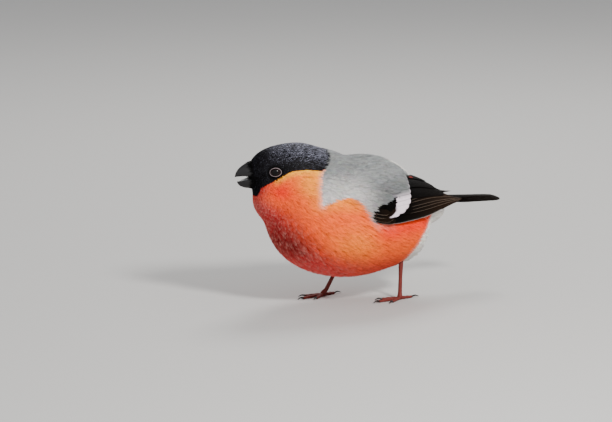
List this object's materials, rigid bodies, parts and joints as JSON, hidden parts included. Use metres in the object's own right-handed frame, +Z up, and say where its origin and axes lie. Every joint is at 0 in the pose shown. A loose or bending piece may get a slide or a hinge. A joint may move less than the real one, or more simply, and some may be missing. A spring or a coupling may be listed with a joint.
{
  "type": "bullfinch model",
  "caption": "Still, life-size model of a male bullfinch standing on the ground with its wings folded, its head turned slightly aside and its bill a little open.",
  "frame": {"origin": "on the floor, under the middle of the model's bounding box", "axes": "+Y towards the tail, so that the breast faces -Y; +X towards the bird's left side; +Z up"},
  "size_m": [0.0563, 0.1418, 0.078],
  "materials": {
    "cap": "glossy blue-black plumage",
    "breast": "soft orange-red plumage",
    "back": "soft ash-grey plumage",
    "rump": "soft white plumage",
    "flight": "smooth dark flight feathers with pale edges",
    "eye": "dark wet shine",
    "bill": "black horn with a low shine",
    "leg": "dark reddish-brown scaled skin"
  },
  "bodies": {
    "root": {"head": "cap", "neck": "breast", "torso": "breast", "rump": "rump", "tail": "flight", "wing_left": "flight", "wing_right": "flight", "eye_left": "eye", "eye_right": "eye", "bill_upper": "bill", "bill_lower": "bill", "leg_left": "leg", "leg_right": "leg", "foot_left": "leg", "foot_right": "leg"}
  },
  "joints": []
}
